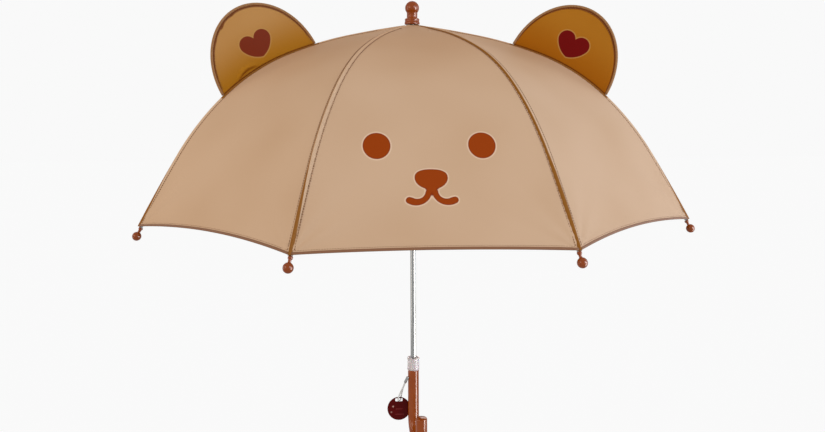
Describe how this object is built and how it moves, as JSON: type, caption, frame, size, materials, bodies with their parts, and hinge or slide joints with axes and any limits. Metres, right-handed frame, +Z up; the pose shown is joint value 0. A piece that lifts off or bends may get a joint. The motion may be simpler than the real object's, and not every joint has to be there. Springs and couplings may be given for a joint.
{
  "type": "children's umbrella",
  "caption": "Open children's stick umbrella with a domed cloth canopy, two round ears, sliding runner, folding ribs and a hooked handle.",
  "frame": {"origin": "on the shaft's axis, where the hand holds the handle", "axes": "+Z up the shaft towards the finial, -Y towards the panel with the face, +X to the right as the face is seen"},
  "size_m": [0.7164, 0.7164, 0.6421],
  "materials": {
    "canopy_cloth": "plain-woven polyester, water-repellent, soft sheen",
    "ear_cloth": "plain-woven polyester, water-repellent, soft sheen",
    "binding_tape": "woven polyester tape",
    "shaft_steel": "nickel-plated steel tube",
    "frame_steel": "zinc-plated steel",
    "finial_plastic": "glossy moulded plastic",
    "handle_plastic": "glossy moulded plastic",
    "white_plastic": "moulded translucent plastic",
    "tag_plastic": "printed plastic disc",
    "strap_cord": "soft white cord"
  },
  "bodies": {
    "root": {"shaft": "shaft_steel", "finial": "finial_plastic", "crown_notch": "white_plastic", "crown_wire": "frame_steel", "handle": "handle_plastic", "collar": "white_plastic", "tag_clasp": "shaft_steel"},
    "runner": {"runner": "white_plastic", "runner_wire": "frame_steel"},
    "top_catch": {"top_catch": "frame_steel"},
    "bottom_catch": {"bottom_catch": "frame_steel"},
    "tag": {"name_tag": "tag_plastic", "tag_strap": "strap_cord"},
    "rib_1": {"rib_1": "frame_steel"},
    "rib_end_1": {"rib_tip_1": "finial_plastic"},
    "stretcher_1": {"stretcher_1": "frame_steel"},
    "rib_2": {"rib_2": "frame_steel", "ear_right": "ear_cloth", "ear_wire_right": "binding_tape"},
    "rib_end_2": {"rib_tip_2": "finial_plastic"},
    "stretcher_2": {"stretcher_2": "frame_steel"},
    "rib_3": {"rib_3": "frame_steel"},
    "rib_end_3": {"rib_tip_3": "finial_plastic"},
    "stretcher_3": {"stretcher_3": "frame_steel"},
    "rib_4": {"rib_4": "frame_steel"},
    "rib_end_4": {"rib_tip_4": "finial_plastic"},
    "stretcher_4": {"stretcher_4": "frame_steel"},
    "rib_5": {"rib_5": "frame_steel"},
    "rib_end_5": {"rib_tip_5": "finial_plastic"},
    "stretcher_5": {"stretcher_5": "frame_steel"},
    "rib_6": {"rib_6": "frame_steel"},
    "rib_end_6": {"rib_tip_6": "finial_plastic"},
    "stretcher_6": {"stretcher_6": "frame_steel"},
    "rib_7": {"rib_7": "frame_steel", "ear_left": "ear_cloth", "ear_wire_left": "binding_tape"},
    "rib_end_7": {"rib_tip_7": "finial_plastic"},
    "stretcher_7": {"stretcher_7": "frame_steel"},
    "rib_8": {"rib_8": "frame_steel"},
    "rib_end_8": {"rib_tip_8": "finial_plastic"},
    "stretcher_8": {"stretcher_8": "frame_steel"},
    "panel_1": {"canopy_panel_1": "canopy_cloth"},
    "panel_end_1": {"hem_binding_1": "binding_tape"},
    "panel_2": {"canopy_panel_2": "canopy_cloth"},
    "panel_end_2": {"hem_binding_2": "binding_tape"},
    "panel_3": {"canopy_panel_3": "canopy_cloth"},
    "panel_end_3": {"hem_binding_3": "binding_tape"},
    "panel_4": {"canopy_panel_4": "canopy_cloth"},
    "panel_end_4": {"hem_binding_4": "binding_tape"},
    "panel_5": {"canopy_panel_5": "canopy_cloth"},
    "panel_end_5": {"hem_binding_5": "binding_tape", "tie_strap": "canopy_cloth", "tie_stud": "finial_plastic"},
    "panel_6": {"canopy_panel_6": "canopy_cloth"},
    "panel_end_6": {"hem_binding_6": "binding_tape"},
    "panel_7": {"canopy_panel_7": "canopy_cloth"},
    "panel_end_7": {"hem_binding_7": "binding_tape"},
    "panel_8": {"canopy_panel_8": "canopy_cloth"},
    "panel_end_8": {"hem_binding_8": "binding_tape"}
  },
  "joints": [
    {"name": "runner_slide", "type": "slide", "parent": "root", "child": "runner", "axis": [0, 0, -1], "range_m": [0, 0.24]},
    {"name": "top_catch_press", "type": "hinge", "parent": "root", "child": "top_catch", "pos_m": [0, 0.0022, 0.35796], "axis": [1, 0, 0], "range_deg": [0, 5.5], "stiffness_Nm_per_rad": 0.2},
    {"name": "bottom_catch_press", "type": "hinge", "parent": "root", "child": "bottom_catch", "pos_m": [0, 0.0022, 0.17846], "axis": [-1, 0, 0], "range_deg": [0, 5.5], "stiffness_Nm_per_rad": 0.2},
    {"name": "tag_swing", "type": "hinge", "parent": "root", "child": "tag", "pos_m": [-0.0126, -0.0008, 0.0134], "axis": [0.7892, 0.6141, 0], "range_deg": [0, 60]},
    {"name": "rib_hinge_1", "type": "hinge", "parent": "root", "child": "rib_1", "pos_m": [0.00319, -0.0077, 0.53291], "axis": [0.9239, 0.3827, 0], "range_deg": [0, 68.68], "deforming": ["rib_1"]},
    {"name": "rib_flex_1", "type": "hinge", "parent": "rib_1", "child": "rib_end_1", "pos_m": [0.08154, -0.19686, 0.47391], "axis": [0.9239, 0.3827, 0], "range_deg": [-33.5, 0]},
    {"name": "stretcher_hinge_1", "type": "hinge", "parent": "runner", "child": "stretcher_1", "pos_m": [0.0044, -0.01062, 0.41866], "axis": [0.9239, 0.3827, 0], "range_deg": [-61.54, 0]},
    {"name": "rib_hinge_2", "type": "hinge", "parent": "root", "child": "rib_2", "pos_m": [0.0077, -0.00319, 0.53291], "axis": [0.3827, 0.9239, 0], "range_deg": [0, 68.68], "deforming": ["rib_2", "ear_right", "ear_wire_right"]},
    {"name": "rib_flex_2", "type": "hinge", "parent": "rib_2", "child": "rib_end_2", "pos_m": [0.19686, -0.08154, 0.47391], "axis": [0.3827, 0.9239, 0], "range_deg": [-33.5, 0]},
    {"name": "stretcher_hinge_2", "type": "hinge", "parent": "runner", "child": "stretcher_2", "pos_m": [0.01062, -0.0044, 0.41866], "axis": [0.3827, 0.9239, 0], "range_deg": [-61.54, 0]},
    {"name": "rib_hinge_3", "type": "hinge", "parent": "root", "child": "rib_3", "pos_m": [0.0077, 0.00319, 0.53291], "axis": [-0.3827, 0.9239, 0], "range_deg": [0, 68.68], "deforming": ["rib_3"]},
    {"name": "rib_flex_3", "type": "hinge", "parent": "rib_3", "child": "rib_end_3", "pos_m": [0.19686, 0.08154, 0.47391], "axis": [-0.3827, 0.9239, 0], "range_deg": [-33.5, 0]},
    {"name": "stretcher_hinge_3", "type": "hinge", "parent": "runner", "child": "stretcher_3", "pos_m": [0.01062, 0.0044, 0.41866], "axis": [-0.3827, 0.9239, 0], "range_deg": [-61.54, 0]},
    {"name": "rib_hinge_4", "type": "hinge", "parent": "root", "child": "rib_4", "pos_m": [0.00319, 0.0077, 0.53291], "axis": [-0.9239, 0.3827, 0], "range_deg": [0, 68.68], "deforming": ["rib_4"]},
    {"name": "rib_flex_4", "type": "hinge", "parent": "rib_4", "child": "rib_end_4", "pos_m": [0.08154, 0.19686, 0.47391], "axis": [-0.9239, 0.3827, 0], "range_deg": [-33.5, 0]},
    {"name": "stretcher_hinge_4", "type": "hinge", "parent": "runner", "child": "stretcher_4", "pos_m": [0.0044, 0.01062, 0.41866], "axis": [-0.9239, 0.3827, 0], "range_deg": [-61.54, 0]},
    {"name": "rib_hinge_5", "type": "hinge", "parent": "root", "child": "rib_5", "pos_m": [-0.00319, 0.0077, 0.53291], "axis": [-0.9239, -0.3827, 0], "range_deg": [0, 68.68], "deforming": ["rib_5"]},
    {"name": "rib_flex_5", "type": "hinge", "parent": "rib_5", "child": "rib_end_5", "pos_m": [-0.08154, 0.19686, 0.47391], "axis": [-0.9239, -0.3827, 0], "range_deg": [-33.5, 0]},
    {"name": "stretcher_hinge_5", "type": "hinge", "parent": "runner", "child": "stretcher_5", "pos_m": [-0.0044, 0.01062, 0.41866], "axis": [-0.9239, -0.3827, 0], "range_deg": [-61.54, 0]},
    {"name": "rib_hinge_6", "type": "hinge", "parent": "root", "child": "rib_6", "pos_m": [-0.0077, 0.00319, 0.53291], "axis": [-0.3827, -0.9239, 0], "range_deg": [0, 68.68], "deforming": ["rib_6"]},
    {"name": "rib_flex_6", "type": "hinge", "parent": "rib_6", "child": "rib_end_6", "pos_m": [-0.19686, 0.08154, 0.47391], "axis": [-0.3827, -0.9239, 0], "range_deg": [-33.5, 0]},
    {"name": "stretcher_hinge_6", "type": "hinge", "parent": "runner", "child": "stretcher_6", "pos_m": [-0.01062, 0.0044, 0.41866], "axis": [-0.3827, -0.9239, 0], "range_deg": [-61.54, 0]},
    {"name": "rib_hinge_7", "type": "hinge", "parent": "root", "child": "rib_7", "pos_m": [-0.0077, -0.00319, 0.53291], "axis": [0.3827, -0.9239, 0], "range_deg": [0, 68.68], "deforming": ["rib_7", "ear_left", "ear_wire_left"]},
    {"name": "rib_flex_7", "type": "hinge", "parent": "rib_7", "child": "rib_end_7", "pos_m": [-0.19686, -0.08154, 0.47391], "axis": [0.3827, -0.9239, 0], "range_deg": [-33.5, 0]},
    {"name": "stretcher_hinge_7", "type": "hinge", "parent": "runner", "child": "stretcher_7", "pos_m": [-0.01062, -0.0044, 0.41866], "axis": [0.3827, -0.9239, 0], "range_deg": [-61.54, 0]},
    {"name": "rib_hinge_8", "type": "hinge", "parent": "root", "child": "rib_8", "pos_m": [-0.00319, -0.0077, 0.53291], "axis": [0.9239, -0.3827, 0], "range_deg": [0, 68.68], "deforming": ["rib_8"]},
    {"name": "rib_flex_8", "type": "hinge", "parent": "rib_8", "child": "rib_end_8", "pos_m": [-0.08154, -0.19686, 0.47391], "axis": [0.9239, -0.3827, 0], "range_deg": [-33.5, 0]},
    {"name": "stretcher_hinge_8", "type": "hinge", "parent": "runner", "child": "stretcher_8", "pos_m": [-0.0044, -0.01062, 0.41866], "axis": [0.9239, -0.3827, 0], "range_deg": [-61.54, 0]},
    {"name": "panel_hinge_1", "type": "hinge", "parent": "root", "child": "panel_1", "pos_m": [0, -0.0077, 0.53291], "axis": [1, 0, 0], "range_deg": [0, 66.96], "deforming": ["canopy_panel_1"]},
    {"name": "panel_flex_1", "type": "hinge", "parent": "panel_1", "child": "panel_end_1", "pos_m": [0, -0.19762, 0.47571], "axis": [1, 0, 0], "range_deg": [-33.34, 0], "deforming": ["hem_binding_1"]},
    {"name": "panel_hinge_2", "type": "hinge", "parent": "root", "child": "panel_2", "pos_m": [0.00545, -0.00545, 0.53291], "axis": [0.7071, 0.7071, 0], "range_deg": [0, 66.96], "deforming": ["canopy_panel_2"]},
    {"name": "panel_flex_2", "type": "hinge", "parent": "panel_2", "child": "panel_end_2", "pos_m": [0.13974, -0.13974, 0.47571], "axis": [0.7071, 0.7071, 0], "range_deg": [-33.34, 0], "deforming": ["hem_binding_2"]},
    {"name": "panel_hinge_3", "type": "hinge", "parent": "root", "child": "panel_3", "pos_m": [0.0077, 0, 0.53291], "axis": [0, 1, 0], "range_deg": [0, 66.96], "deforming": ["canopy_panel_3"]},
    {"name": "panel_flex_3", "type": "hinge", "parent": "panel_3", "child": "panel_end_3", "pos_m": [0.19762, 0, 0.47571], "axis": [0, 1, 0], "range_deg": [-33.34, 0], "deforming": ["hem_binding_3"]},
    {"name": "panel_hinge_4", "type": "hinge", "parent": "root", "child": "panel_4", "pos_m": [0.00545, 0.00545, 0.53291], "axis": [-0.7071, 0.7071, 0], "range_deg": [0, 66.96], "deforming": ["canopy_panel_4"]},
    {"name": "panel_flex_4", "type": "hinge", "parent": "panel_4", "child": "panel_end_4", "pos_m": [0.13974, 0.13974, 0.47571], "axis": [-0.7071, 0.7071, 0], "range_deg": [-33.34, 0], "deforming": ["hem_binding_4"]},
    {"name": "panel_hinge_5", "type": "hinge", "parent": "root", "child": "panel_5", "pos_m": [0, 0.0077, 0.53291], "axis": [-1, 0, 0], "range_deg": [0, 66.96], "deforming": ["canopy_panel_5"]},
    {"name": "panel_flex_5", "type": "hinge", "parent": "panel_5", "child": "panel_end_5", "pos_m": [0, 0.19762, 0.47571], "axis": [-1, 0, 0], "range_deg": [-33.34, 0], "deforming": ["hem_binding_5"]},
    {"name": "panel_hinge_6", "type": "hinge", "parent": "root", "child": "panel_6", "pos_m": [-0.00545, 0.00545, 0.53291], "axis": [-0.7071, -0.7071, 0], "range_deg": [0, 66.96], "deforming": ["canopy_panel_6"]},
    {"name": "panel_flex_6", "type": "hinge", "parent": "panel_6", "child": "panel_end_6", "pos_m": [-0.13974, 0.13974, 0.47571], "axis": [-0.7071, -0.7071, 0], "range_deg": [-33.34, 0], "deforming": ["hem_binding_6"]},
    {"name": "panel_hinge_7", "type": "hinge", "parent": "root", "child": "panel_7", "pos_m": [-0.0077, 0, 0.53291], "axis": [0, -1, 0], "range_deg": [0, 66.96], "deforming": ["canopy_panel_7"]},
    {"name": "panel_flex_7", "type": "hinge", "parent": "panel_7", "child": "panel_end_7", "pos_m": [-0.19762, 0, 0.47571], "axis": [0, -1, 0], "range_deg": [-33.34, 0], "deforming": ["hem_binding_7"]},
    {"name": "panel_hinge_8", "type": "hinge", "parent": "root", "child": "panel_8", "pos_m": [-0.00545, -0.00545, 0.53291], "axis": [0.7071, -0.7071, 0], "range_deg": [0, 66.96], "deforming": ["canopy_panel_8"]},
    {"name": "panel_flex_8", "type": "hinge", "parent": "panel_8", "child": "panel_end_8", "pos_m": [-0.13974, -0.13974, 0.47571], "axis": [0.7071, -0.7071, 0], "range_deg": [-33.34, 0], "deforming": ["hem_binding_8"]}
  ],
  "couplings": [
    {"joint": "rib_hinge_1", "follows": "runner_slide", "rad_per_m": 4.9909},
    {"joint": "rib_flex_1", "follows": "runner_slide", "rad_per_m": -2.4326},
    {"joint": "stretcher_hinge_1", "follows": "runner_slide", "rad_per_m": -4.4718},
    {"joint": "rib_hinge_2", "follows": "runner_slide", "rad_per_m": 4.9909},
    {"joint": "rib_flex_2", "follows": "runner_slide", "rad_per_m": -2.4326},
    {"joint": "stretcher_hinge_2", "follows": "runner_slide", "rad_per_m": -4.4718},
    {"joint": "rib_hinge_3", "follows": "runner_slide", "rad_per_m": 4.9909},
    {"joint": "rib_flex_3", "follows": "runner_slide", "rad_per_m": -2.4326},
    {"joint": "stretcher_hinge_3", "follows": "runner_slide", "rad_per_m": -4.4718},
    {"joint": "rib_hinge_4", "follows": "runner_slide", "rad_per_m": 4.9909},
    {"joint": "rib_flex_4", "follows": "runner_slide", "rad_per_m": -2.4326},
    {"joint": "stretcher_hinge_4", "follows": "runner_slide", "rad_per_m": -4.4718},
    {"joint": "rib_hinge_5", "follows": "runner_slide", "rad_per_m": 4.9909},
    {"joint": "rib_flex_5", "follows": "runner_slide", "rad_per_m": -2.4326},
    {"joint": "stretcher_hinge_5", "follows": "runner_slide", "rad_per_m": -4.4718},
    {"joint": "rib_hinge_6", "follows": "runner_slide", "rad_per_m": 4.9909},
    {"joint": "rib_flex_6", "follows": "runner_slide", "rad_per_m": -2.4326},
    {"joint": "stretcher_hinge_6", "follows": "runner_slide", "rad_per_m": -4.4718},
    {"joint": "rib_hinge_7", "follows": "runner_slide", "rad_per_m": 4.9909},
    {"joint": "rib_flex_7", "follows": "runner_slide", "rad_per_m": -2.4326},
    {"joint": "stretcher_hinge_7", "follows": "runner_slide", "rad_per_m": -4.4718},
    {"joint": "rib_hinge_8", "follows": "runner_slide", "rad_per_m": 4.9909},
    {"joint": "rib_flex_8", "follows": "runner_slide", "rad_per_m": -2.4326},
    {"joint": "stretcher_hinge_8", "follows": "runner_slide", "rad_per_m": -4.4718},
    {"joint": "panel_hinge_1", "follows": "runner_slide", "rad_per_m": 4.866},
    {"joint": "panel_flex_1", "follows": "runner_slide", "rad_per_m": -2.4206},
    {"joint": "panel_hinge_2", "follows": "runner_slide", "rad_per_m": 4.866},
    {"joint": "panel_flex_2", "follows": "runner_slide", "rad_per_m": -2.4206},
    {"joint": "panel_hinge_3", "follows": "runner_slide", "rad_per_m": 4.866},
    {"joint": "panel_flex_3", "follows": "runner_slide", "rad_per_m": -2.4206},
    {"joint": "panel_hinge_4", "follows": "runner_slide", "rad_per_m": 4.866},
    {"joint": "panel_flex_4", "follows": "runner_slide", "rad_per_m": -2.4206},
    {"joint": "panel_hinge_5", "follows": "runner_slide", "rad_per_m": 4.866},
    {"joint": "panel_flex_5", "follows": "runner_slide", "rad_per_m": -2.4206},
    {"joint": "panel_hinge_6", "follows": "runner_slide", "rad_per_m": 4.866},
    {"joint": "panel_flex_6", "follows": "runner_slide", "rad_per_m": -2.4206},
    {"joint": "panel_hinge_7", "follows": "runner_slide", "rad_per_m": 4.866},
    {"joint": "panel_flex_7", "follows": "runner_slide", "rad_per_m": -2.4206},
    {"joint": "panel_hinge_8", "follows": "runner_slide", "rad_per_m": 4.866},
    {"joint": "panel_flex_8", "follows": "runner_slide", "rad_per_m": -2.4206}
  ]
}
